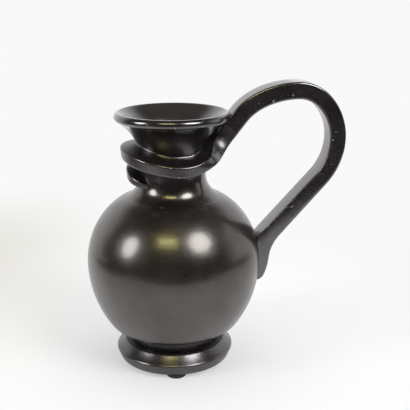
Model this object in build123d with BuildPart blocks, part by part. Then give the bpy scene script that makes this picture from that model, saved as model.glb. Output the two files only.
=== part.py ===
"""Round-bodied ceramic jug with a cup mouth and a high strap handle wrapped round its neck.

Millimetres, +Z up. The origin is on the jug's axis, in the plane of the three pads it stands on.
The handle points along +X. Every profile is drawn as (radius, height) and turned about Z.
"""

import os
from math import cos, radians, sin, tan

from build123d import *

# Pads under the foot
pad_diameter = 16.0
pad_thickness = 3.0
pad_edge_radius = 1.2
pad_count = 3
pad_first_angle = -92.0

# Foot: a turned ring with a conical face above an upright band, and a hollow waist under the globe
foot_bottom_radius = 46.5
foot_bore_radius = 28.5
foot_ridge_overhang = 1.8
foot_band_height = 8.3
foot_cone_height = 7.3
foot_edge_radius = 1.2
waist_radius = 37.5
waist_height = 10.6
waist_foot_flare = 3.5
waist_top_flare = 2.5

# Globe: heights are measured from the point below
globe_radius = 69.7
globe_wall = 5.0
base_rise = 4.0
belly_foot_radius = 53.5
belly_foot_height = 6.2
equator_height = 57.0
shoulder_radius = 50.4
shoulder_height = 44.5
neck_foot_height = 8.2

# Neck
neck_radius = 26.2
neck_wall = 4.7
neck_flare = 11.8
neck_flare_height = 18.2
neck_height = 33.1

# Cup mouth: heights above the top of the neck
cup_base_inset = 1.3
cup_wall_lean = 1.8
cup_wall_height = 6.0
cup_throat_height = 5.0
lip_radius = 45.6
lip_height = 31.1
lip_roll_radius = 3.6
lip_slope = 24.0

# Strap handle: the fork is placed by the lip and the neck's top, and the arch by the fork
strap_width = 22.0
strap_thickness = 12.6
strap_edge_radius = 2.5
strap_slope = 52.0
strap_rise = 15.9
strap_lip_lap = 1.6
strap_fork_height = 17.1
top_across = 54.0
top_above = 33.2
brow_across = 19.65
brow_below = 8.14
reach_across = 32.1
reach_below = 38.2
knee_across = 19.6
knee_below = 71.0

# Root: drops are measured from the end of the strap's straight run
root_stand_off = 1.1
root_bend_length = 14.8
root_thickness = 7.1
root_press_drop = 23.8
root_heel_thickness = 3.7
root_heel_drop = 37.3
root_end_drop = 42.6
root_dip = 20.0

# Fork: where the slit halves of the strap turn aside to pass round the neck
fork_clearance = 10.9
fork_spread = 6.4
fork_height = 8.2
fork_turn = 37.0
fork_slope = 38.0
fork_width = 12.0
fork_thickness = 16.5

# Collar: the two strips round the neck
strip_thickness = 8.6
strip_top_slope = 13.0
strip_edge_radius = 1.8
strip_face_lean = 1.5
strip_first_angle = 45.0
strip_first_lift = 4.0
strip_first_slope = 20.0
strip_steps = 8
strip_tip_height = 4.0
strip_tip_rise = 2.2
front_stand_out = 15.3
front_above = 0.5
front_tilt = 9.8
front_lean = 8.0
front_taper_angle = 160.0
front_end_angle = 250.0
front_tip_drop = 2.0
rear_stand_out = 10.8
rear_below = 6.5
rear_tilt = 11.0
rear_taper_angle = 170.0
rear_end_angle = 222.0
rear_tip_drop = 11.0

# How far a piece is drawn into its neighbour before the neighbour is cut out of it
seat_depth = 1.5

# Places that follow from these sizes, from the pads up
foot_bottom_z = pad_thickness
foot_ridge_z = foot_bottom_z + foot_band_height
foot_cone_top_z = foot_ridge_z + foot_cone_height
waist_top_z = foot_cone_top_z + waist_height
equator_z = waist_top_z + equator_height
neck_foot_z = equator_z + shoulder_height + neck_foot_height
neck_top_z = neck_foot_z + neck_height
neck_bore_radius = neck_radius - neck_wall
os.makedirs("parts", exist_ok=True)


def polar(radius, angle):
    """Plan position at a radius and an angle in degrees from the handle."""
    return radius * cos(radians(angle)), radius * sin(radians(angle))


# Base pads: three stuck-on bumpers with a rounded lower edge
with BuildPart() as base_pads:
    with BuildSketch(Plane.XY):
        pad_circle_radius = (foot_bottom_radius + foot_bore_radius) / 2
        with PolarLocations(pad_circle_radius, pad_count, start_angle=pad_first_angle):
            Circle(pad_diameter / 2)
    extrude(amount=pad_thickness)
    lower_edges = base_pads.edges().group_by(Axis.Z)[0]
    fillet(lower_edges, radius=pad_edge_radius)

# Globe, filled: the outline from the base, round the belly and over the shoulder to the neck
base_floor = Vector(0, waist_top_z - base_rise)
seat = Vector(waist_radius + waist_top_flare, waist_top_z)
belly_foot = Vector(belly_foot_radius, waist_top_z + belly_foot_height)
equator = Vector(globe_radius, equator_z)
shoulder_point = Vector(shoulder_radius, equator_z + shoulder_height)
neck_foot = Vector(neck_radius + neck_flare, neck_foot_z)
with BuildPart() as globe_body:
    with BuildSketch(Plane.XZ):
        with BuildLine():
            TangentArc(base_floor, seat, tangent=(1, 0))
            belly_lower = TangentArc(equator, belly_foot, tangent=(0, -1))
            base_turn = TangentArc(belly_foot, seat, tangent=belly_lower % 1)
            belly_upper = TangentArc(equator, shoulder_point, tangent=(0, 1))
            shoulder_arc = TangentArc(shoulder_point, neck_foot, tangent=belly_upper % 1)
            Polyline(neck_foot, (0, neck_foot_z), base_floor)
        make_face()
    revolve(axis=Axis.Z)


def inset(curve, turn):
    """The end of an outline curve, moved square to it into the globe by the wall."""
    return curve @ 1 + (curve % 1).rotate(Axis.Z, turn) * globe_wall


# Globe: hollowed by the same outline drawn one wall thickness in, and open to the neck's bore
with BuildPart() as globe:
    add(globe_body.part)
    with BuildSketch(Plane.XZ):
        with BuildLine():
            inner_equator = equator - Vector(globe_wall, 0)
            inner_floor = base_floor + Vector(0, globe_wall)
            inner_seat = inset(base_turn, -90)
            inner_belly_foot = inset(belly_lower, -90)
            inner_shoulder = inset(belly_upper, 90)
            inner_neck_foot = inset(shoulder_arc, 90)
            ceiling_edge = (neck_bore_radius, inner_neck_foot.Y)
            Line(inner_floor, inner_seat)
            TangentArc(inner_belly_foot, inner_seat, tangent=belly_lower % 1)
            TangentArc(inner_equator, inner_belly_foot, tangent=(0, -1))
            TangentArc(inner_equator, inner_shoulder, tangent=(0, 1))
            TangentArc(inner_shoulder, inner_neck_foot, tangent=belly_upper % 1)
            hole_edge = (neck_bore_radius, neck_foot_z)
            Polyline(inner_neck_foot, ceiling_edge, hole_edge, (0, neck_foot_z), inner_floor)
        make_face()
    revolve(axis=Axis.Z, mode=Mode.SUBTRACT)

# Foot: turned ring, hollow inside, its top cut to the globe's base
with BuildPart() as foot_ring:
    with BuildSketch(Plane.XZ):
        with BuildLine():
            ridge = (foot_bottom_radius + foot_ridge_overhang, foot_ridge_z)
            cone_top = (waist_radius + waist_foot_flare, foot_cone_top_z)
            waist_middle = (waist_radius, (foot_cone_top_z + waist_top_z) / 2)
            foot_heel = (foot_bore_radius, foot_bottom_z)
            Polyline(foot_heel, (foot_bottom_radius, foot_bottom_z), ridge, cone_top)
            ThreePointArc(cone_top, waist_middle, seat)
            Polyline(seat, (foot_bore_radius, waist_top_z), foot_heel)
        make_face()
    revolve(axis=Axis.Z)
    turned_edges = foot_ring.edges().filter_by(GeomType.CIRCLE).sort_by(SortBy.RADIUS)
    fillet(turned_edges[-2:], radius=foot_edge_radius)
    add(globe_body.part, mode=Mode.SUBTRACT)

# Neck: flares into the shoulder, then stands straight up to the cup
with BuildPart() as neck:
    with BuildSketch(Plane.XZ):
        with BuildLine():
            neck_waist = (neck_radius, neck_foot_z + neck_flare_height)
            bore_foot = (neck_bore_radius, neck_foot_z)
            bore_top = (neck_bore_radius, neck_top_z)
            TangentArc(neck_foot, neck_waist, tangent=shoulder_arc % 1)
            Polyline(neck_waist, (neck_radius, neck_top_z), bore_top, bore_foot, neck_foot)
        make_face()
    revolve(axis=Axis.Z)

# Mouth: a cup that flares to a thick rolled lip, open through to the neck
lip_centre = Vector(lip_radius - lip_roll_radius, neck_top_z + lip_height)
lip_under = lip_centre + Vector(lip_roll_radius, 0).rotate(Axis.Z, lip_slope - 90)
lip_over = lip_centre + Vector(lip_roll_radius, 0).rotate(Axis.Z, lip_slope + 90)
with BuildPart() as mouth_cup:
    with BuildSketch(Plane.XZ):
        with BuildLine():
            cup_base_radius = neck_radius - cup_base_inset
            cup_base = (cup_base_radius, neck_top_z)
            cup_wall_top = (cup_base_radius + cup_wall_lean, neck_top_z + cup_wall_height)
            cup_throat = (neck_bore_radius, neck_top_z + cup_throat_height)
            cup_side = Line(cup_base, cup_wall_top)
            TangentArc(cup_wall_top, lip_under, tangent=cup_side % 1)
            ThreePointArc(lip_under, lip_centre + Vector(lip_roll_radius, 0), lip_over)
            TangentArc(cup_throat, lip_over, tangent=(0, 1))
            Polyline(cup_throat, (neck_bore_radius, neck_top_z), cup_base)
        make_face()
    revolve(axis=Axis.Z)


def slant_length(bend):
    """Length of the straight run from a bend's end to where the root starts to turn down the globe."""
    to_globe = ((bend @ 1).X - globe_radius - root_stand_off) / -(bend % 1).X
    return to_globe - root_bend_length


# Middle line of the strap, from the fork to the root
strap_fork = (lip_radius - strap_lip_lap, neck_top_z + strap_fork_height)
handle_top = (strap_fork[0] + top_across, strap_fork[1] + top_above)
handle_brow = (handle_top[0] + brow_across, handle_top[1] - brow_below)
handle_reach = (handle_top[0] + reach_across, handle_top[1] - reach_below)
handle_knee = (handle_top[0] + knee_across, handle_top[1] - knee_below)
with BuildLine(Plane.XZ) as strap_path:
    rise = PolarLine(strap_fork, strap_rise, strap_slope)
    brow_rise = Spline(rise @ 1, handle_top, tangents=(rise % 1, Vector(1, 0, 0)))
    brow = TangentArc(handle_top, handle_brow, tangent=brow_rise % 1)
    back = TangentArc(handle_brow, handle_reach, tangent=brow % 1)
    knee = TangentArc(handle_reach, handle_knee, tangent=back % 1)
    run = PolarLine(knee @ 1, slant_length(knee), direction=knee % 1)

# Root: the strap's lower end, bent down and pressed along the globe's side
run_end = Vector((run @ 1).X, (run @ 1).Z)
run_direction = Vector((run % 1).X, (run % 1).Z)
run_square = run_direction.rotate(Axis.Z, 90)
with BuildPart() as strap_root:
    with BuildSketch(Plane.XZ):
        with BuildLine():
            outer_start = run_end + run_square * (strap_thickness / 2)
            inner_start = run_end - run_square * (strap_thickness / 2)
            inner_dip = inner_start + run_direction * root_dip
            pressed_point = (globe_radius + root_thickness, run_end.Y - root_press_drop)
            root_heel = (globe_radius + root_heel_thickness, run_end.Y - root_heel_drop)
            root_tip = (globe_radius - globe_wall, run_end.Y - root_end_drop)
            outer_bend = TangentArc(outer_start, pressed_point, tangent=run_direction)
            pressed_face = TangentArc(pressed_point, root_heel, tangent=outer_bend % 1)
            TangentArc(root_heel, root_tip, tangent=pressed_face % 1)
            Polyline(root_tip, inner_dip, inner_start, outer_start)
        make_face()
    extrude(amount=strap_width / 2, both=True)
    outer_edges = strap_root.edges().filter_by(GeomType.CIRCLE)
    inner_edges = strap_root.edges().filter_by(Axis((0, 0, 0), (run_direction.X, 0, run_direction.Y)))
    fillet(outer_edges + inner_edges, radius=strap_edge_radius)
    add(globe_body.part, mode=Mode.SUBTRACT)

# Strap handle: up from the fork past the lip, over the arch, down the slanting run and into its root
with BuildPart() as handle_strap:
    with BuildSketch(Plane(rise @ 0, x_dir=(0, 1, 0), z_dir=rise % 0)):
        RectangleRounded(strap_width, strap_thickness, strap_edge_radius)
    sweep(path=strap_path.line)
    add(mouth_cup.part, mode=Mode.SUBTRACT)
    add(strap_root.part)


def strip_section(centre, angle, pitch, width, thickness, top_slope, face_lean):
    """Section of a wrapped strip, facing outwards at an angle: square inside, its two outer edges rounded.

    The outer face leans in towards its lower edge.
    """
    outward = (*polar(1, angle), 0)
    run_x, run_y = polar(cos(radians(pitch)), angle - 90)
    section_plane = Plane(centre, x_dir=outward, z_dir=(run_x, run_y, sin(radians(pitch))))
    inner = -width / 2
    outer = width / 2
    half = thickness / 2
    crown = half + width * tan(radians(top_slope))
    with BuildSketch(section_plane) as section:
        Polygon((inner, -half), (outer - face_lean, -half), (outer, half), (inner, crown), align=None)
        fillet(section.vertices().sort_by(Axis.X)[-2:], radius=strip_edge_radius)
    return section.sketch


def strip_sections(side, stand_out, height_at, taper_angle, end_angle, tip_drop):
    """Sections of one half of the strap, from the fork round the neck to its tapered end.

    The side is -1 for the half that passes the front of the neck and 1 for the half that passes behind.
    """
    strap_half = strap_width / 2
    sections = []
    for share in (0, 0.5, 1):
        turn = 90 + (fork_turn - 90) * share
        slope = strap_slope + (fork_slope - strap_slope) * share
        width = strap_half + (fork_width - strap_half) * share
        thickness = strap_thickness + (fork_thickness - strap_thickness) * share
        inward_x, inward_y = polar(width / 2, turn)
        x = strap_fork[0] + (neck_radius + fork_clearance - strap_fork[0]) * share - inward_x
        y = strap_half + fork_spread * share**2 - inward_y
        z = strap_fork[1] + (neck_top_z + fork_height - strap_fork[1]) * share
        centre = (x, side * y, z)
        lean = strip_face_lean * share
        sections.append(strip_section(centre, side * turn, side * slope, width, thickness, 0, lean))
    inner_radius = neck_radius - seat_depth
    for step in range(strip_steps + 1):
        angle = strip_first_angle + (end_angle - strip_first_angle) * step / strip_steps
        taper = max(0, (angle - taper_angle) / (end_angle - taper_angle))
        lift = strip_first_lift if step == 0 else 0
        slope = side * strip_first_slope if step == 0 else 0
        top_slope = 0 if step == 0 else strip_top_slope
        outer = neck_radius + stand_out + (strip_tip_rise - stand_out) * taper**2
        thickness = strip_thickness + (strip_tip_height - strip_thickness) * taper
        x, y = polar((inner_radius + outer) / 2, side * angle)
        centre = (x, y, height_at(x, y) + lift - tip_drop * taper)
        width = outer - inner_radius
        lean = strip_face_lean * (1 - taper)
        sections.append(strip_section(centre, side * angle, slope, width, thickness, top_slope, lean))
    return sections


def front_strip_z(x, y):
    """Height of the front strip's middle: lowest at the front, and rising to the left of it."""
    left_rise = max(0, -x) * tan(radians(front_lean))
    return neck_top_z + front_above + y * tan(radians(front_tilt)) + left_rise


def rear_strip_z(x, y):
    """Height of the rear strip's middle: highest at the handle."""
    return neck_top_z - rear_below + x * tan(radians(rear_tilt))


# Front strip: from the strap's near half round the front and the left, ending behind the neck
front_taper = (front_taper_angle, front_end_angle, front_tip_drop)
front_sections = strip_sections(-1, front_stand_out, front_strip_z, *front_taper)
with BuildPart() as collar_front:
    loft(front_sections)
    add(neck.part, mode=Mode.SUBTRACT)
    add(mouth_cup.part, mode=Mode.SUBTRACT)

# Rear strip: from the strap's far half round the back, under the front strip, to a tail on the neck
rear_taper = (rear_taper_angle, rear_end_angle, rear_tip_drop)
rear_sections = strip_sections(1, rear_stand_out, rear_strip_z, *rear_taper)
with BuildPart() as collar_rear:
    loft(rear_sections)
    add(neck.part, mode=Mode.SUBTRACT)
    add(mouth_cup.part, mode=Mode.SUBTRACT)
    add(globe_body.part, mode=Mode.SUBTRACT)
    add(collar_front.part, mode=Mode.SUBTRACT)

pieces = {
    "base_pads": base_pads,
    "foot_ring": foot_ring,
    "globe": globe,
    "neck": neck,
    "mouth_cup": mouth_cup,
    "handle_strap": handle_strap,
    "collar_front": collar_front,
    "collar_rear": collar_rear,
}
for name, piece in pieces.items():
    piece.part.label = name
    export_step(piece.part, f"parts/{name}.step")
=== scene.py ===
"""Dressed model of a dark-glazed ceramic jug: its clay pieces, glaze, pads and setting."""

from math import atan2, cos, hypot, pi, radians, sin, tan

import bmesh
import bpy
import numpy as np
from mathutils import Matrix, Vector


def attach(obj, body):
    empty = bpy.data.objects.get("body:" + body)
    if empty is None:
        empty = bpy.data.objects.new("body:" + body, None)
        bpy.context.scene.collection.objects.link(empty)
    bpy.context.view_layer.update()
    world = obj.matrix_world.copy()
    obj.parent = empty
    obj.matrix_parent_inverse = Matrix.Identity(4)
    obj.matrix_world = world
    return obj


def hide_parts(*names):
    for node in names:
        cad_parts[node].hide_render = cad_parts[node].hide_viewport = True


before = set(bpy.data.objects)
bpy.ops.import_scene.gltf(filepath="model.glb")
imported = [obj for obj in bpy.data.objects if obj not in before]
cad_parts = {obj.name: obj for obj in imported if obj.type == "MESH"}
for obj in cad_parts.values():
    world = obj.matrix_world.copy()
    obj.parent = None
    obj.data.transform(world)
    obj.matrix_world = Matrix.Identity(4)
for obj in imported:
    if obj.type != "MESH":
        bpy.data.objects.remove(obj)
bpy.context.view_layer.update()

# Sizes are in millimetres, the unit of the part's source; meshes are made in metres.
# A pair in brackets is a point of an outline: its distance from the jug's axis and its height.
# Only fork_face is a point seen from above: its distance along the handle and to the side.
MM = 0.001
SHARP = radians(38)
FULL_EDGE_BEND = 0.4
turn_segments, neck_segments, pad_segments = 192, 160, 48

pad_radius, pad_height, pad_edge, pad_circle = 8.0, 3.0, 1.2, 37.5
pad_top_edge = 0.3
pad_angles = (-92.0, 28.0, 148.0)

foot_bore, foot_bore_drop = 28.5, 2.0
foot_heel = (44.9, 3.0)
foot_ridge = (48.3, 11.3)
foot_cone_top = (41.0, 18.6)
foot_heel_edge, foot_ridge_edge, foot_top_edge = 2.0, 2.2, 1.2
foot_hollow = radians(4)
waist_corner = (36.6, 18.4)

globe_wall = 5.0
base_floor = (0.0, 25.2)
seat = (40.0, 29.2)
belly_foot = (53.5, 35.4)
equator = (69.7, 86.2)
shoulder_point = (50.4, 130.7)
neck_foot = (38.0, 138.9)

neck_radius, neck_bore = 26.2, 21.5
neck_waist_z, neck_top_z = 157.1, 172.0
flare_sag, flare_shift = 2.5, 0.8

cup_base = (24.9, 172.0)
cup_wall_top = (26.7, 178.0)
cup_throat_z = 177.0
lip_centre = (42.0, 203.1)
lip_roll = 3.6
lip_slope = radians(24)

strap_width, strap_edge, strap_edge_share = 22.0, 1.7, 0.45
strap_fork = (45.2, 193.9)
strap_slope = 52.0
strap_rise = 11.4
handle_top = (98.0, 222.3)
handle_brow = (117.65, 214.16)
handle_reach = (130.1, 184.1)
handle_knee = (117.6, 151.3)
thick_fork, thick_top, thick_reach, thick_knee, thick_run = 13.5, 13.4, 12.7, 12.2, 12.8
root_stand_off, root_bend_length = 1.1, 14.8
root_thickness, root_press_drop = 7.1, 23.8
root_heel_thickness, root_heel_drop, root_end_drop = 3.7, 37.3, 42.6
root_sink, root_sink_share = 14.0, 0.4
root_tip_inset, root_tip_lift = 4.4, 2.0

fork_face = (36.2, 16.3)
fork_z, fork_slope = 179.4, 38.0
fork_width = 12.0
# Sections of the fork: share of the way to its end, turn, thickness, lean and swell of its face
fork_bends = (
    (-0.35, 90, 13.5, 0, 0),
    (0, 90, 13.5, -0.5, 5),
    (0.6, 80, 11.5, -4.8, 13),
    (1, 66, 11.5, -4.8, 16),
)
fork_edge, fork_flat_share = 1.5, 0.42
strip_first_lean, strip_first_swell = -2.0, 14
strip_thickness, strip_top_slope = 8.6, 13.0
strip_edge, strip_edge_share = 1.3, 0.3
strip_face_lean = 0.7
strip_first_angle, strip_first_lift, strip_first_slope = 45.0, 4.0, 20.0
strip_steps, strip_rows = 8, 150
strip_tip_height, strip_tip_rise, strip_tip_length = 4.0, 2.2, 1.5
strip_tip_turns = (0.4, 0.8, 1.15, 1.4)
strip_sink = 1.5
strip_inner = neck_radius - strip_sink
least_lute, front_lute, rear_lute = 0.05, 1.6, 0.6
# A taper is the angle where a strip starts to thin, the angle of its tip, and the drop of the tip
front_radius, front_z = 41.5, 172.5
front_tilt, front_lean = radians(9.8), radians(8)
front_taper = (160.0, 250.0, 2.0)
rear_radius, rear_z, rear_tilt = 37.0, 165.5, radians(11)
rear_taper = (170.0, 222.0, 11.0)


# Outlines

def arc(start, heading, end, steps):
    """Points after start on the arc that leaves along heading and reaches end; last heading."""
    across, up = end[0] - start[0], end[1] - start[1]
    lean = (atan2(up, across) - heading + pi) % (2 * pi) - pi
    points = []
    for step in range(1, steps + 1):
        share = step / steps
        stretch = share if abs(lean) < 1e-6 else sin(lean * share) / sin(lean)
        reach = hypot(across, up) * stretch
        angle = heading + lean * share
        points.append((start[0] + reach * cos(angle), start[1] + reach * sin(angle)))
    return points, heading + 2 * lean


def line(start, end, steps):
    """Points after start on the straight line to end."""
    across, up = end[0] - start[0], end[1] - start[1]
    shares = [step / steps for step in range(1, steps + 1)]
    return [(start[0] + across * share, start[1] + up * share) for share in shares]


def round_corner(before, corner, after, radius, steps=6):
    """Points of the rounded corner between two straight sides."""
    back = (Vector(before) - Vector(corner)).normalized()
    ahead = (Vector(after) - Vector(corner)).normalized()
    half = back.angle(ahead) / 2
    start = Vector(corner) + back * (radius / tan(half))
    end = Vector(corner) + ahead * (radius / tan(half))
    points, _ = arc(start, atan2(-back.y, -back.x), end, steps)
    return [tuple(start)] + points


def edge_weights(loop):
    """How sharply a closed outline turns outwards: 0 on faces, 1 on small rounded edges."""
    loop = np.asarray(loop)
    ahead = np.roll(loop, -1, 0) - loop
    lengths = np.hypot(ahead[:, 0], ahead[:, 1]) + 1e-6
    headings = np.arctan2(ahead[:, 1], ahead[:, 0])
    turns = (headings - np.roll(headings, 1) + pi) % (2 * pi) - pi
    area = np.sum(loop[:, 0] * np.roll(loop[:, 1], -1) - np.roll(loop[:, 0], -1) * loop[:, 1])
    bend = np.sign(area) * turns / ((lengths + np.roll(lengths, 1)) / 2)
    return np.clip(bend / FULL_EDGE_BEND, 0, 1)


# Meshes

def skin(name, grid, weights, ring=False):
    """A closed mesh over rows of points, each row a closed loop; in a ring the rows close too."""
    rows, columns = len(grid), len(grid[0])
    body = bmesh.new()
    edge = body.verts.layers.float.new("edge")
    verts = [[body.verts.new(Vector(point) * MM) for point in row] for row in grid]
    for row in verts:
        for vert, weight in zip(row, weights):
            vert[edge] = weight
    for row in range(rows if ring else rows - 1):
        here, there = verts[row], verts[(row + 1) % rows]
        for column in range(columns):
            after = (column + 1) % columns
            body.faces.new((here[column], here[after], there[after], there[column]))
    if not ring:
        body.faces.new(verts[0])
        body.faces.new(verts[-1])
    bmesh.ops.remove_doubles(body, verts=body.verts, dist=1e-6)
    loose = [item for item in body.edges if not item.link_faces]
    bmesh.ops.delete(body, geom=loose, context="EDGES")
    bmesh.ops.recalc_face_normals(body, faces=body.faces)
    mesh = bpy.data.meshes.new(name)
    body.to_mesh(mesh)
    body.free()
    for polygon in mesh.polygons:
        polygon.use_smooth = True
    mesh.set_sharp_from_angle(angle=SHARP)
    piece = bpy.data.objects.new(name, mesh)
    bpy.context.collection.objects.link(piece)
    return piece


def thrown(name, outline, segments):
    """A piece turned about the jug's axis from a closed outline of (radius, height)."""
    angles = [2 * pi * step / segments for step in range(segments)]
    grid = [[(r * cos(a), r * sin(a), z) for r, z in outline] for a in angles]
    return skin(name, grid, edge_weights(outline), ring=True)


def globe_outline():
    """The globe's wall: the outer outline up from the base, then the same a wall thickness in."""
    base, _ = arc(base_floor, 0, seat, 14)
    lower, foot_heading = arc(equator, -pi / 2, belly_foot, 44)
    turn, _ = arc(belly_foot, foot_heading, seat, 12)
    upper, shoulder_heading = arc(equator, pi / 2, shoulder_point, 40)
    shoulder, _ = arc(shoulder_point, shoulder_heading, neck_foot, 24)
    outer = [seat] + turn[-2::-1] + lower[::-1] + [equator] + upper + shoulder
    inner = []
    for before, here, after in zip(outer[:-2], outer[1:-1], outer[2:]):
        heading = atan2(after[1] - before[1], after[0] - before[0])
        inner.append((here[0] - globe_wall * sin(heading), here[1] + globe_wall * cos(heading)))
    inner = [point for point in inner if point[0] > neck_bore]
    hole = [(neck_bore, neck_foot[1]), (neck_bore, inner[-1][1])]
    floor_z = base_floor[1] + globe_wall
    bottom = [(inner[0][0] * 0.6, floor_z), (0.0, floor_z)]
    return [base_floor] + base[:-1] + outer + hole + inner[::-1] + bottom


def neck_outline():
    """The neck's wall, from the flare out of the shoulder to the cup."""
    _, shoulder_heading = arc(equator, pi / 2, shoulder_point, 2)
    _, neck_heading = arc(shoulder_point, shoulder_heading, neck_foot, 2)
    flare, _ = arc(neck_foot, neck_heading, (neck_radius, neck_waist_z), 16)
    side = line((neck_radius, neck_waist_z), (neck_radius, neck_top_z), 12)
    bore = line((neck_bore, neck_top_z), (neck_bore, neck_foot[1]), 8)
    return [neck_foot] + flare + side + [(neck_bore, neck_top_z)] + bore


def thrown_neck():
    """The neck, its flare a little lower at the front."""
    outline = neck_outline()
    grid = []
    for step in range(neck_segments):
        angle = 2 * pi * step / neck_segments
        front = max(0, -sin(angle))**2
        row = []
        for r, z in outline:
            share = min(max((z - neck_foot[1]) / (neck_waist_z - neck_foot[1]), 0), 1)
            drop = flare_sag * front * sin(pi * share) if r > neck_bore + 0.1 else 0
            row.append((r * cos(angle) + drop / flare_sag * flare_shift, r * sin(angle), z - drop))
        grid.append(row)
    return skin("neck", grid, edge_weights(outline), ring=True)


def lip_point(turn):
    """A point on the rolled lip."""
    return lip_centre[0] + lip_roll * cos(turn), lip_centre[1] + lip_roll * sin(turn)


def cup_wall():
    """The cup's outer outline from its base to the underside of the lip."""
    heading = atan2(cup_wall_top[1] - cup_base[1], cup_wall_top[0] - cup_base[0])
    under, _ = arc(cup_wall_top, heading, lip_point(lip_slope - pi / 2), 28)
    return [cup_base] + line(cup_base, cup_wall_top, 6) + under


def cup_outline():
    """The mouth's wall: out along the underside, round the rolled lip and down the inside."""
    roll = [lip_point(lip_slope - pi / 2 + pi * step / 20) for step in range(1, 21)]
    inside, _ = arc((neck_bore, cup_throat_z), pi / 2, lip_point(lip_slope + pi / 2), 28)
    throat = [(neck_bore, cup_throat_z), (neck_bore, neck_top_z)]
    return cup_wall() + roll + inside[-2::-1] + throat


def foot_outline():
    """The foot's ring: undercut band, hollowed face, groove under the globe, and the bore."""
    under = (foot_bore, foot_heel[1])
    heading = atan2(foot_cone_top[1] - foot_ridge[1], foot_cone_top[0] - foot_ridge[0])
    leaving = Vector((cos(heading + foot_hollow), sin(heading + foot_hollow)))
    arriving = Vector((cos(heading - foot_hollow), sin(heading - foot_hollow)))
    heel = round_corner(under, foot_heel, foot_ridge, foot_heel_edge)
    ridge = round_corner(foot_heel, foot_ridge, Vector(foot_ridge) + leaving, foot_ridge_edge)
    before_top = Vector(foot_cone_top) - arriving
    upper = round_corner(before_top, foot_cone_top, waist_corner, foot_top_edge)
    face, _ = arc(ridge[-1], heading + foot_hollow, upper[0], 12)
    waist = line(upper[-1], waist_corner, 4) + line(waist_corner, seat, 10)
    bore_top = (foot_bore, seat[1] - foot_bore_drop)
    bore = [bore_top] + line(bore_top, under, 6)
    return heel + ridge + face[:-1] + upper + waist + bore


def pads():
    """Three stuck-on rubber pads with a rounded lower edge, as one piece."""
    rim = (pad_radius, pad_height)
    corner = round_corner((0, 0), (pad_radius, 0), rim, pad_edge)
    top = round_corner((pad_radius, 0), rim, (0, pad_height), pad_top_edge, 3)
    outline = [(0.0, 0.0), (pad_radius * 0.5, 0.0)] + corner + top + [(0.0, pad_height)]
    made = []
    for angle in pad_angles:
        pad = thrown("base_pads", outline, pad_segments)
        x, y = pad_circle * cos(radians(angle)), pad_circle * sin(radians(angle))
        pad.data.transform(Matrix.Translation((x * MM, y * MM, 0)))
        made.append(pad)
    with bpy.context.temp_override(active_object=made[0], selected_editable_objects=made):
        bpy.ops.object.join()
    return made[0]


# Strap handle

def strap_middle():
    """The strap's middle line from fork to root in the XZ plane, thickness and last heading."""
    rise = (cos(radians(strap_slope)), sin(radians(strap_slope)))
    rise_end = (strap_fork[0] + strap_rise * rise[0], strap_fork[1] + strap_rise * rise[1])
    middle = [strap_fork] + line(strap_fork, rise_end, 10)
    span = hypot(handle_top[0] - rise_end[0], handle_top[1] - rise_end[1])
    for step in range(1, 25):
        s = step / 24
        h = (2 * s**3 - 3 * s**2 + 1, s**3 - 2 * s**2 + s, 3 * s**2 - 2 * s**3, s**3 - s**2)
        x = h[0] * rise_end[0] + h[1] * span * rise[0] + h[2] * handle_top[0] + h[3] * span
        z = h[0] * rise_end[1] + h[1] * span * rise[1] + h[2] * handle_top[1]
        middle.append((x, z))
    marks = [0, len(middle) - 1]
    heading = 0.0
    bends = (
        (handle_top, handle_brow, 20),
        (handle_brow, handle_reach, 28),
        (handle_reach, handle_knee, 24),
    )
    for start, end, steps in bends:
        points, heading = arc(start, heading, end, steps)
        middle += points
        if end != handle_brow:
            marks.append(len(middle) - 1)
    ahead = (cos(heading), sin(heading))
    run_length = (handle_knee[0] - equator[0] - root_stand_off) / -ahead[0] - root_bend_length
    run_end = (handle_knee[0] + ahead[0] * run_length, handle_knee[1] + ahead[1] * run_length)
    middle += line(handle_knee, run_end, 36)
    marks.append(len(middle) - 1)
    thicknesses = (thick_fork, thick_top, thick_reach, thick_knee, thick_run)
    return middle, np.interp(range(len(middle)), marks, thicknesses), heading


def strap_edges():
    """Pairs of points on the strap's outer and inner outlines in the XZ plane, fork to root."""
    middle, thickness, heading = strap_middle()
    pairs = []
    for index, here in enumerate(middle):
        before, after = middle[max(index - 1, 0)], middle[min(index + 1, len(middle) - 1)]
        way = Vector((after[0] - before[0], after[1] - before[1])).normalized()
        side = Vector((-way.y, way.x)) * (thickness[index] / 2)
        pairs.append((Vector(here) + side, Vector(here) - side))
    outer_start, inner_start = pairs[-1]
    run_end = middle[-1]
    pressed = (equator[0] + root_thickness, run_end[1] - root_press_drop)
    heel = (equator[0] + root_heel_thickness, run_end[1] - root_heel_drop)
    tip = (equator[0] - globe_wall, run_end[1] - root_end_drop)
    bend, bend_heading = arc(outer_start, heading, pressed, 20)
    press, press_heading = arc(pressed, bend_heading, heel, 12)
    end, _ = arc(heel, press_heading, tip, 12)
    outer = bend + press + end
    sunk = inner_start + Vector((cos(heading), sin(heading))) * root_sink
    low = Vector((equator[0] - root_tip_inset, tip[1] + root_tip_lift))
    for index, point in enumerate(outer):
        share = (index + 1) / len(outer)
        if share < root_sink_share:
            inner = inner_start + (sunk - inner_start) * (share / root_sink_share)
        else:
            inner = sunk + (low - sunk) * ((share - root_sink_share) / (1 - root_sink_share))
        pairs.append((Vector(point), inner))
    return pairs


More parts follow.
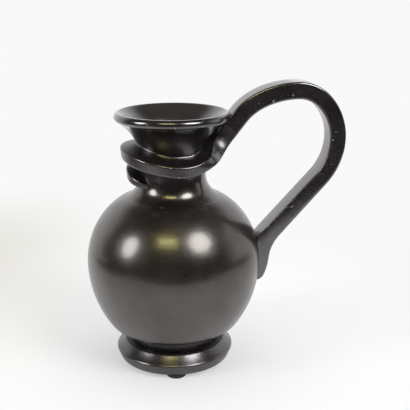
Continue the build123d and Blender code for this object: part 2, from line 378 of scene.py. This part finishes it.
def strap():
    """The handle: a flat pulled strap with rounded edges, and its root pressed on the globe."""
    grid = []
    for outer, inner in strap_edges():
        depth = (outer - inner).length
        edge = min(strap_edge, depth * strap_edge_share)
        half = strap_width / 2
        corners = [(-half, 0), (half, 0), (half, depth), (-half, depth)]
        loop = []
        for index, corner in enumerate(corners):
            before, after = corners[index - 1], corners[(index + 1) % 4]
            rounded = round_corner(before, corner, after, edge)
            halfway = (Vector(rounded[-1]) + Vector(after)) / 2
            loop += rounded + line(rounded[-1], halfway, 3)[:-1]
        way = (outer - inner).normalized()
        grid.append([(inner.x + way.x * v, u, inner.y + way.y * v) for u, v in loop])
    x0, _, z0 = grid[0][0]
    section = [(y, hypot(x - x0, z - z0)) for x, y, z in grid[0]]
    return skin("handle_strap", grid, edge_weights(section))


# Collar strips

def cup_side(z):
    """Radius of the outside of the neck or the cup at a height, where a strip lies against it."""
    if z < neck_top_z:
        return neck_radius
    wall = cup_wall()
    return float(np.interp(z, [point[1] for point in wall], [point[0] for point in wall]))


def lute_fillet(middle, z, outer, half, rise, size):
    """Points of the fillet of slip between a strip's top and the cup, from its middle line."""
    probe = 1.5
    top_normal = Vector((rise, 1)).normalized()
    top_point = Vector((outer, half))
    crease = z + half + (outer + middle - cup_side(z + half)) * rise
    flare = cup_side(crease + probe) - cup_side(crease - probe)
    wall_normal = Vector((2 * probe, -flare)).normalized()
    wall_point = Vector((cup_side(crease) - middle, crease - z))
    sides = np.array((top_normal, wall_normal))
    offsets = (top_point.dot(top_normal) + size, wall_point.dot(wall_normal) + size)
    centre = np.linalg.solve(sides, offsets)
    first, last = atan2(top_normal.y, top_normal.x), atan2(wall_normal.y, wall_normal.x)
    turns = [first + (last - first) * step / 8 for step in range(9)]
    return [(centre[0] - size * cos(turn), centre[1] - size * sin(turn)) for turn in turns]


def strip_loop(centre, angle, pitch, width, thickness, edge, face, top_slope, fillet):
    """Section of a strip: square inside, outer edges rounded, luted up against the cup."""
    angle, pitch = radians(angle), radians(pitch)
    outward = Vector((cos(angle), sin(angle), 0))
    way = Vector((cos(pitch) * sin(angle), -cos(pitch) * cos(angle), sin(pitch)))
    up = way.cross(outward)
    inner, outer, half = -width / 2, width / 2, thickness / 2
    crown = (inner, half + width * tan(radians(top_slope)))
    lean, swell = face[0], radians(face[1])
    low_corner = Vector((outer - max(lean, 0), -half))
    high_corner = Vector((outer + min(lean, 0), half))
    heading = atan2(thickness, high_corner.x - low_corner.x)
    first = Vector((cos(heading - swell), sin(heading - swell)))
    last = Vector((cos(heading + swell), sin(heading + swell)))
    low = round_corner((inner, -half), low_corner, low_corner + first, edge)
    high = round_corner(high_corner - last, high_corner, crown, edge)
    side, _ = arc(low[-1], heading - swell, high[0], 10)
    top = line(high[-1], fillet[0], 6)[:-1]
    under = [(inner, -half)] + line((inner, -half), low[0], 4)[:-1]
    back = [(inner, fillet[-1][1])]
    loop = under + low + side[:-1] + high + top + fillet + back
    return [Vector(centre) + outward * u + up * v for u, v in loop], loop


def fork_sections(side):
    """Sections of one half of the strap's slit end, from inside the strap to the collar."""
    strap_half = strap_width / 2
    sections = []
    for share, turn, thickness, lean, swell in fork_bends:
        bent = max(share, 0)
        slope = strap_slope + (fork_slope - strap_slope) * bent
        width = strap_half + (fork_width - strap_half) * bent
        x = strap_fork[0] + (fork_face[0] - strap_fork[0]) * share - width / 2 * cos(radians(turn))
        y = strap_half + (fork_face[1] - strap_half) * bent**2 - width / 2 * sin(radians(turn))
        z = strap_fork[1] + (fork_z - strap_fork[1]) * share
        if share < 0:
            x = strap_fork[0] + (z - strap_fork[1]) / tan(radians(strap_slope))
        flat_start = (-width * fork_flat_share, thickness / 2)
        flat = [flat_start] + line(flat_start, (-width / 2 + 0.01, thickness / 2), 8)
        edge = strap_edge + (fork_edge - strap_edge) * bent
        centre, face = (x, side * y, z), (lean, swell)
        sections.append(strip_loop(
            centre, side * turn, side * slope, width, thickness, edge, face, 0, flat))
    return sections


def ring_sections(side, radius, height_at, taper, lute_size):
    """Sections of one half wrapped round the neck, thinner towards its tip."""
    taper_angle, end_angle, tip_drop = taper
    sections = []
    for step in range(strip_steps + 1):
        angle = strip_first_angle + (end_angle - strip_first_angle) * step / strip_steps
        thin = max(0, (angle - taper_angle) / (end_angle - taper_angle))
        if step == 0:
            lift, slope, top_slope = strip_first_lift, side * strip_first_slope, 0
            face = (strip_first_lean, strip_first_swell)
        else:
            lift, slope, top_slope = 0, 0, strip_top_slope
            face = (strip_face_lean * (1 - thin), 0)
        outer = radius + (neck_radius + strip_tip_rise - radius) * thin**2
        thickness = strip_thickness + (strip_tip_height - strip_thickness) * thin
        middle = (strip_inner + outer) / 2
        x, y = middle * cos(radians(side * angle)), middle * sin(radians(side * angle))
        z = height_at(x, y) + lift - tip_drop * thin
        width = outer - strip_inner
        size = max(lute_size * (1 - thin)**2, least_lute)
        rise = tan(radians(top_slope))
        fillet = lute_fillet(middle, z, width / 2, thickness / 2, rise, size)
        edge = min(strip_edge, thickness * strip_edge_share, width * strip_edge_share)
        centre = (x, y, z)
        sections.append(strip_loop(
            centre, side * angle, slope, width, thickness, edge, face, top_slope, fillet))
    return sections


def strip(name, side, radius, height_at, taper, lute_size):
    """One half of the strap's slit end, from the fork round the neck to its thin tip."""
    ring = ring_sections(side, radius, height_at, taper, lute_size)
    rows = [points for points, _ in fork_sections(side) + ring]
    _, plain_section = ring[2]
    return skin(name, round_tip(smooth_rows(rows, strip_rows)), edge_weights(plain_section))


def round_tip(grid):
    """The rows with a rounded end after the last one."""
    last, before = np.array(grid[-1]), np.array(grid[-2])
    centre = last.mean(0)
    way = centre - before.mean(0)
    way = way / np.linalg.norm(way)
    for turn in strip_tip_turns:
        row = centre + (last - centre) * cos(turn) + way * (strip_tip_length * sin(turn))
        grid.append([tuple(point) for point in row])
    return grid


def smooth_rows(rows, count):
    """Rows from the second one given on, on smooth curves through the given rows' points."""
    knots = np.array(rows)
    middles = knots.mean(1)
    places = np.concatenate([[0], np.cumsum(np.linalg.norm(np.diff(middles, axis=0), axis=1))])
    gaps = np.diff(places)
    size = len(knots)
    system = np.eye(size)
    pulls = np.zeros_like(knots)
    for k in range(1, size - 1):
        system[k, k - 1:k + 2] = gaps[k - 1], 2 * (gaps[k - 1] + gaps[k]), gaps[k]
        slope_before = (knots[k] - knots[k - 1]) / gaps[k - 1]
        slope_after = (knots[k + 1] - knots[k]) / gaps[k]
        pulls[k] = 6 * (slope_after - slope_before)
    bends = np.linalg.solve(system, pulls.reshape(size, -1)).reshape(knots.shape)
    grid = []
    for place in np.linspace(places[1], places[-1], count):
        k = min(max(np.searchsorted(places, place) - 1, 0), size - 2)
        a, b, gap = places[k + 1] - place, place - places[k], gaps[k]
        row = (bends[k] * a**3 + bends[k + 1] * b**3) / (6 * gap)
        row = row + (knots[k] / gap - bends[k] * gap / 6) * a
        row = row + (knots[k + 1] / gap - bends[k + 1] * gap / 6) * b
        grid.append([tuple(point) for point in row])
    return grid


def front_height(x, y):
    """Height of the front strip's middle: lowest at the front, and rising to the left of it."""
    return front_z + y * tan(front_tilt) + max(0, -x) * tan(front_lean)


def rear_height(x, y):
    """Height of the rear strip's middle: highest at the handle."""
    return rear_z + x * tan(rear_tilt)


# Finishes

class Value:
    """A node's output, so that shader maths can be written as an expression."""

    def __init__(self, finish, socket):
        self.finish, self.socket = finish, socket

    def maths(self, operation, *values):
        return self.finish.node("ShaderNodeMath", {"operation": operation}, dict(enumerate(values)))

    def __add__(self, other):
        return self.maths("ADD", self, other)

    def __sub__(self, other):
        return self.maths("SUBTRACT", self, other)

    def __rsub__(self, other):
        return self.maths("SUBTRACT", other, self)

    def __mul__(self, other):
        return self.maths("MULTIPLY", self, other)

    def __pow__(self, other):
        return self.maths("POWER", self, other)

    __radd__ = __add__
    __rmul__ = __mul__

    def ramp(self, low, high):
        """0 below low, 1 above high, and smooth between them."""
        settings = {"interpolation_type": "SMOOTHSTEP"}
        inputs = {"Value": self, "From Min": low, "From Max": high}
        return self.finish.node("ShaderNodeMapRange", settings, inputs)


class Finish:
    """A node tree under construction."""

    def __init__(self, tree):
        self.tree = tree
        tree.nodes.clear()

    def node(self, kind, settings=None, inputs=None, output=0):
        """Add a node: its settings, then its sockets' values or links. Gives one output."""
        made = self.tree.nodes.new(kind)
        for key, value in (settings or {}).items():
            setattr(made, key, value)
        for key, value in (inputs or {}).items():
            if isinstance(value, Value):
                self.tree.links.new(value.socket, made.inputs[key])
            else:
                made.inputs[key].default_value = value
        return Value(self, made.outputs[output])

    def mix(self, factor, first, second):
        """A colour between two colours."""
        inputs = {"Factor": factor, 6: first, 7: second}
        return self.node("ShaderNodeMix", {"data_type": "RGBA"}, inputs, 2)

    def vectors(self, operation, first, second, output=0):
        """Maths on two vectors."""
        settings = {"operation": operation}
        return self.node("ShaderNodeVectorMath", settings, {0: first, 1: second}, output)

    def bump(self, strength, distance, height):
        """A surface direction that follows small heights."""
        inputs = {"Strength": strength, "Distance": distance, "Height": height}
        return self.node("ShaderNodeBump", {}, inputs)

    def noise(self, place, scale, detail=3.0, rough=0.5):
        """Soft random values about 0.5."""
        inputs = {"Vector": place, "Scale": scale, "Detail": detail, "Roughness": rough}
        return self.node("ShaderNodeTexNoise", {}, inputs)

    def close(self, kind, surface):
        """Join the shader to the tree's output node."""
        made = self.tree.nodes.new(kind)
        self.tree.links.new(surface.socket, made.inputs["Surface"])


def material(name):
    made = bpy.data.materials.new(name)
    made.use_nodes = True
    return made, Finish(made.node_tree)


glaze_black, glaze_brown = (0.0050, 0.0040, 0.0038, 1), (0.0125, 0.0098, 0.0080, 1)
rubbed_edge, bare_clay = (0.060, 0.050, 0.042, 1), (0.36, 0.34, 0.32, 1)
pinhole, inner_wall = (0.004, 0.0035, 0.0035, 1), (0.026, 0.023, 0.021, 1)
rubber_black, rubber_dust = (0.007, 0.007, 0.007, 1), (0.022, 0.021, 0.020, 1)
wheel_stretch = (9, 9, 330)


def glaze(name, gloss, satin, band, ior, tint, wheel=0.0):
    """Dark metallic-brown glaze with mottling, fine grain, pinholes and worn edges.

    Gloss and satin are a roughness and a coat: satin inside the band of heights, which is
    given in metres as start, full, full and end, and gloss outside it. The coat is weaker and
    the colour paler inside the vessel. Wheel is the height of the faint marks of throwing.
    """
    made, f = material(name)
    place = f.node("ShaderNodeTexCoord", {}, {}, "Object")
    z = f.node("ShaderNodeSeparateXYZ", {}, {0: place}, 2)
    level = f.vectors("MULTIPLY", place, (1, 1, 0))
    facing = f.node("ShaderNodeNewGeometry", {}, {}, "Normal")
    outward = f.vectors("DOT_PRODUCT", level, facing, "Value")
    inside = 1 - outward.ramp(-0.012, -0.002)
    dull = z.ramp(band[0], band[1]) * (1 - z.ramp(band[2], band[3]))
    edge = f.node("ShaderNodeAttribute", {"attribute_name": "edge"}, {}, "Fac")
    cloud = f.noise(place, 22.0, 4.0, 0.55)
    patch = f.noise(place, 70.0, 5.0, 0.6)
    grain = f.noise(place, 900.0, 3.0, 0.6)
    speck = f.node("ShaderNodeTexVoronoi", {}, {"Vector": place, "Scale": 240.0}, "Distance")
    pits = (1 - speck.ramp(0.05, 0.12)) * f.noise(place, 60.0, 2.0).ramp(0.62, 0.7)
    mottle = (cloud * 0.6 + patch * 0.4).ramp(0.36, 0.66)
    body = f.mix(mottle, glaze_black, glaze_brown)
    worn = edge * f.noise(place, 260.0, 4.0, 0.65).ramp(0.56, 0.70)
    chips = edge * f.noise(place, 330.0, 2.0).ramp(0.70, 0.73)
    body = f.mix(worn * 0.4, body, rubbed_edge)
    body = f.mix(chips, body, bare_clay)
    body = f.mix(pits, body, pinhole)
    body = f.mix(inside * 0.8, body, inner_wall)
    rough = (patch - 0.5) * 0.12 + (grain - 0.5) * 0.14 + pits * 0.2 + worn * 0.1
    rough = rough + dull * (satin[0] - gloss[0]) + gloss[0]
    coat = dull * (satin[1] - gloss[1]) + gloss[1]
    coat = coat * (1 - inside * 0.7) * (mottle * 0.6 + 0.6)
    waves = f.noise(place, 160.0, 3.0) * 0.5 + f.noise(place, 40.0, 2.0) * 1.2
    height = grain * (dull * 0.09 + 0.01) + waves - pits * 1.5
    if wheel:
        drawn_out = f.vectors("MULTIPLY", place, wheel_stretch)
        height = height + f.noise(drawn_out, 1.0, 2.0) * wheel
    shader = f.node("ShaderNodeBsdfPrincipled", {}, {
        "Base Color": body,
        "Roughness": rough,
        "IOR": ior,
        "Specular Tint": tint,
        "Coat Weight": coat,
        "Coat Roughness": 0.15,
        "Coat IOR": 1.6,
        "Normal": f.bump(0.2, 0.0006, height),
    })
    f.close("ShaderNodeOutputMaterial", shader)
    return made


def rubber(name):
    """Black pad rubber, matt, with a fine grain and some dust."""
    made, f = material(name)
    place = f.node("ShaderNodeTexCoord", {}, {}, "Object")
    dust = f.noise(place, 500.0, 4.0, 0.65).ramp(0.48, 0.75)
    shader = f.node("ShaderNodeBsdfPrincipled", {}, {
        "Base Color": f.mix(dust, rubber_black, rubber_dust),
        "Roughness": dust * 0.2 + 0.5,
        "Normal": f.bump(0.3, 0.0003, f.noise(place, 1500.0)),
    })
    f.close("ShaderNodeOutputMaterial", shader)
    return made


# Pieces

globe_band = (0.026, 0.034, 0.134, 0.158)
cup_band = (0.160, 0.165, 0.193, 0.199)
fork_band = (0.175, 0.183, 0.230, 0.235)
cool, warm, bluish = (1.0, 0.96, 1.0, 1), (1.0, 0.92, 0.85, 1), (0.92, 0.89, 1.0, 1)
vessel_glaze = glaze("vessel_glaze", (0.21, 0.8), (0.30, 0.45), globe_band, 1.67, warm, 0.35)
gloss_glaze = glaze("gloss_glaze", (0.18, 1.0), (0.18, 1.0), globe_band, 1.86, cool)
collar_glaze = glaze("collar_glaze", (0.24, 0.3), (0.34, 0.1), fork_band, 1.88, cool)
foot_glaze = glaze("foot_glaze", (0.25, 0.1), (0.25, 0.1), globe_band, 1.84, cool)
cup_glaze = glaze("cup_glaze", (0.18, 1.0), (0.24, 0.22), cup_band, 1.66, bluish, 0.2)
finishes = {
    "globe": vessel_glaze,
    "neck": vessel_glaze,
    "mouth_cup": cup_glaze,
    "foot_ring": foot_glaze,
    "handle_strap": gloss_glaze,
    "collar_front": collar_glaze,
    "collar_rear": collar_glaze,
    "base_pads": rubber("pad_rubber"),
}
dressed = {
    "globe": thrown("globe", globe_outline(), turn_segments),
    "neck": thrown_neck(),
    "mouth_cup": thrown("mouth_cup", cup_outline(), turn_segments),
    "foot_ring": thrown("foot_ring", foot_outline(), turn_segments),
    "handle_strap": strap(),
    "collar_front": strip("collar_front", -1, front_radius, front_height, front_taper, front_lute),
    "collar_rear": strip("collar_rear", 1, rear_radius, rear_height, rear_taper, rear_lute),
    "base_pads": pads(),
}
for node, piece in dressed.items():
    piece.name = "dressed_" + node
    piece.data.materials.append(finishes[node])
    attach(piece, "root")
    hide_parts(node)
    "pad_rubber" if node == "base_pads" else "glaze"


# Setting: a white sheet on a table, a white wall behind, and a dark room in front

white_wall, dark_room = (0.945, 0.945, 0.945, 1), (0.060, 0.050, 0.050, 1)
painted_front_shade, shaded_sheet = (0.87, 0.875, 0.89, 1), (0.80, 0.79, 0.74, 1)
mirrored_sheet, mirrored_table = (0.90, 0.89, 0.87, 1), (0.070, 0.060, 0.085, 1)
tube_yellow, tube_core = (1.0, 0.95, 0.40), (1.0, 0.95, 0.45)
globe_middle = Vector((0, 0, 0.09))


def floor_finish():
    """White table sheet: shadowed round the jug, plain further off, and in gloss dark past it. To
    the camera it glows, by half even round the jug, which lightens the shadow there; it has painted
    shade towards the front and a painted shadow to the left.
    """
    made, f = material("table_sheet")
    made.cycles.emission_sampling = "NONE"
    place = f.node("ShaderNodeNewGeometry", {}, {}, "Position")
    x = f.node("ShaderNodeSeparateXYZ", {}, {0: place}, 0)
    y = f.node("ShaderNodeSeparateXYZ", {}, {0: place}, 1)
    camera_ray = f.node("ShaderNodeLightPath", {}, {}, "Is Camera Ray")
    glossy_ray = f.node("ShaderNodeLightPath", {}, {}, "Is Glossy Ray")
    reach = (x * x + y * y)**0.5
    far = reach.ramp(0.13, 0.36)
    sheet = x.ramp(-0.50, -0.44) * (1 - x.ramp(0.54, 0.60)) * y.ramp(-0.42, -0.37)
    sheet = 1 - (1 - sheet) * (1 - y.ramp(0.15, 0.50))
    # Painted shadow: a warm grey shade on the sheet to the left of and behind the jug, seen by the
    # camera only.
    left = (1 - x.ramp(-0.20, -0.02)) * y.ramp(-0.12, 0.05) * (1 - y.ramp(0.25, 0.60))
    # Painted shade: to the camera the sheet is greyer towards the front and fades to white behind.
    seen = f.mix(y.ramp(-0.20, 0.30), painted_front_shade, white_wall)
    seen = f.mix(left, seen, shaded_sheet)
    seen = f.mix(reach.ramp(0.7, 1.6), seen, white_wall)
    mirrored = f.mix(sheet, mirrored_table, mirrored_sheet)
    lit = f.node("ShaderNodeBsdfDiffuse", {}, {"Color": (0.79, 0.79, 0.79, 1)})
    glowing = f.node("ShaderNodeEmission", {}, {"Color": f.mix(camera_ray, mirrored, seen)})
    share = (far * 0.5 + 0.5) * camera_ray + far * glossy_ray
    surface = f.node("ShaderNodeMixShader", {}, {0: share, 1: lit, 2: glowing})
    f.close("ShaderNodeOutputMaterial", surface)
    return made


def table_sheet(half):
    """The flat sheet that the jug stands on."""
    corners = [(-half, -half, 0), (half, -half, 0), (half, half, 0), (-half, half, 0)]
    mesh = bpy.data.meshes.new("table_sheet")
    mesh.from_pydata(corners, [], [(0, 1, 2, 3)])
    sheet = bpy.data.objects.new("table_sheet", mesh)
    sheet.data.materials.append(floor_finish())
    bpy.context.collection.objects.link(sheet)


def room():
    """The room round the table: white wall behind, dark elsewhere, plain white for the camera."""
    world = bpy.data.worlds.new("room")
    world.use_nodes = True
    bpy.context.scene.world = world
    f = Finish(world.node_tree)
    direction = f.node("ShaderNodeTexCoord", {}, {}, "Generated")
    rightward = f.node("ShaderNodeSeparateXYZ", {}, {0: direction}, 0)
    toward_wall = f.node("ShaderNodeSeparateXYZ", {}, {0: direction}, 1)
    height = f.node("ShaderNodeSeparateXYZ", {}, {0: direction}, 2)
    camera_ray = f.node("ShaderNodeLightPath", {}, {}, "Is Camera Ray")
    wall = (toward_wall + rightward.ramp(0.2, 1.0) * 0.55).ramp(0.20, 0.55)
    wall = wall * (1 - height.ramp(0.45, 0.75))
    colour = f.mix(camera_ray, f.mix(wall, dark_room, (1, 1, 1, 1)), white_wall)
    f.close("ShaderNodeOutputWorld", f.node("ShaderNodeBackground", {}, {"Color": colour}))


def lamp(name, direction, distance, size, power, colour=(1, 1, 1), shape="RECTANGLE"):
    """A soft light that faces the middle of the globe."""
    data = bpy.data.lights.new(name, "AREA")
    data.shape = shape
    data.size, data.size_y = size
    data.energy = power
    data.color = colour
    item = bpy.data.objects.new(name, data)
    bpy.context.collection.objects.link(item)
    way = Vector(direction).normalized()
    item.location = way * distance + globe_middle
    item.rotation_euler = way.to_track_quat("Z", "Y").to_euler()
    return item


table_sheet(6)
room()
lamp("left_window", (-0.871, -0.324, 0.46), 1.3, (0.46, 0.64), 7.6, shape="ELLIPSE")
lamp("right_window", (0.545, -0.660, 0.72), 1.3, (0.64, 0.64), 12.2, shape="ELLIPSE")
tubes = (
    lamp("tube_lamp", (-0.181, -0.744, 0.80), 1.4, (0.60, 0.40), 2.6, tube_yellow),
    lamp("tube_upper", (-0.181, -0.744, 0.86), 1.4, (0.50, 0.03), 0.8, tube_core),
    lamp("tube_lower", (-0.181, -0.744, 0.76), 1.4, (0.50, 0.03), 0.8, tube_core),
)
for tube in tubes:
    tube.visible_diffuse = False
overhead = lamp("overhead", (0.0, 0.1, 1.0), 1.6, (2.0, 2.0), 24)
overhead.visible_glossy = False

photo_focal, photo_width = 784.4, 410
view = bpy.data.cameras.new("photo_view")
view.sensor_width = 36.0
view.lens = photo_focal / photo_width * view.sensor_width
camera = bpy.data.objects.new("photo_view", view)
camera.location = (-0.0374, -0.6034, 0.3074)
camera.rotation_euler = (radians(73.6965), 0, radians(-5.9635))
bpy.context.collection.objects.link(camera)
scene = bpy.context.scene
scene.camera = camera
scene.view_settings.view_transform = "Standard"
